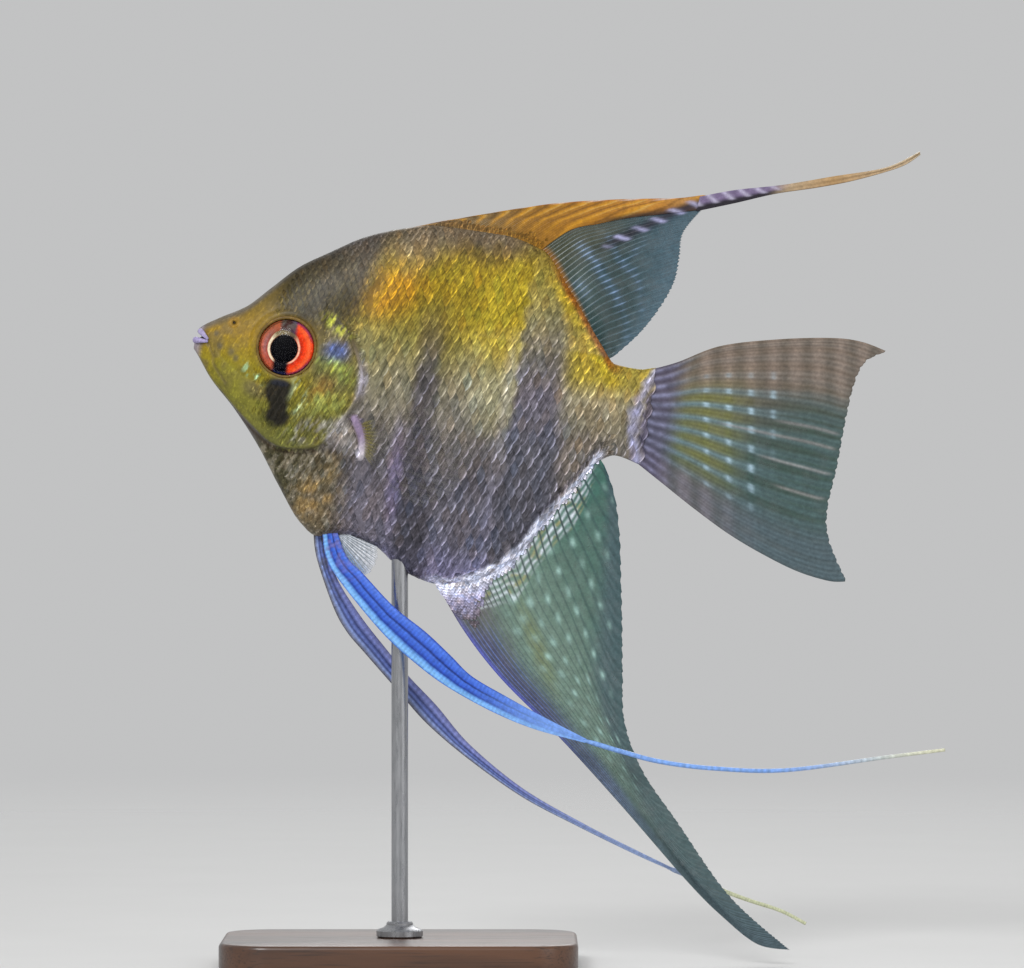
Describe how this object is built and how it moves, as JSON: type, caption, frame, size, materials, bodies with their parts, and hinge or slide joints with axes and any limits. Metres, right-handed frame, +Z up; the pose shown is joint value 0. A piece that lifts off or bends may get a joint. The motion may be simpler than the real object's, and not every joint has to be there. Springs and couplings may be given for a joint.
{
  "type": "freshwater angelfish display model",
  "caption": "Life-size still model of a freshwater angelfish with long trailing fins and threads, held by one rod on a flat display base.",
  "frame": {"origin": "centre of the display base's underside", "axes": "+Z up from the table, -X the way the fish faces, -Y its left side"},
  "size_m": [0.1352, 0.046, 0.1465],
  "materials": {
    "skin": "moist scaled skin, golden above, mauve grey below",
    "lips": "moist pale mauve skin",
    "eye": "glossy, orange red with a black pupil",
    "fin_rays": "thin rayed membrane, partly clear",
    "fin_orange": "spiny membrane, orange brown",
    "fin_blue": "satin blue rays",
    "stand_wood": "dark stained, satin varnish",
    "stand_steel": "fine brushed"
  },
  "bodies": {
    "root": {"head": "skin", "upper_lip": "lips", "lower_jaw": "lips", "trunk": "skin", "tail_stem": "skin", "gill_cover_left": "skin", "gill_cover_right": "skin", "eye_left": "eye", "eye_right": "eye", "fin_dorsal_spines": "fin_orange", "fin_dorsal_soft": "fin_rays", "fin_dorsal_trailer": "fin_orange", "fin_tail": "fin_rays", "fin_anal": "fin_rays", "fin_anal_trailer": "fin_rays", "fin_pelvic_left": "fin_blue", "fin_pelvic_left_thread": "fin_blue", "fin_pelvic_right": "fin_blue", "fin_pelvic_right_thread": "fin_blue", "fin_pectoral_left": "fin_rays", "fin_pectoral_right": "fin_rays", "stand_base": "stand_wood", "stand_collar": "stand_steel", "stand_rod": "stand_steel"}
  },
  "joints": []
}
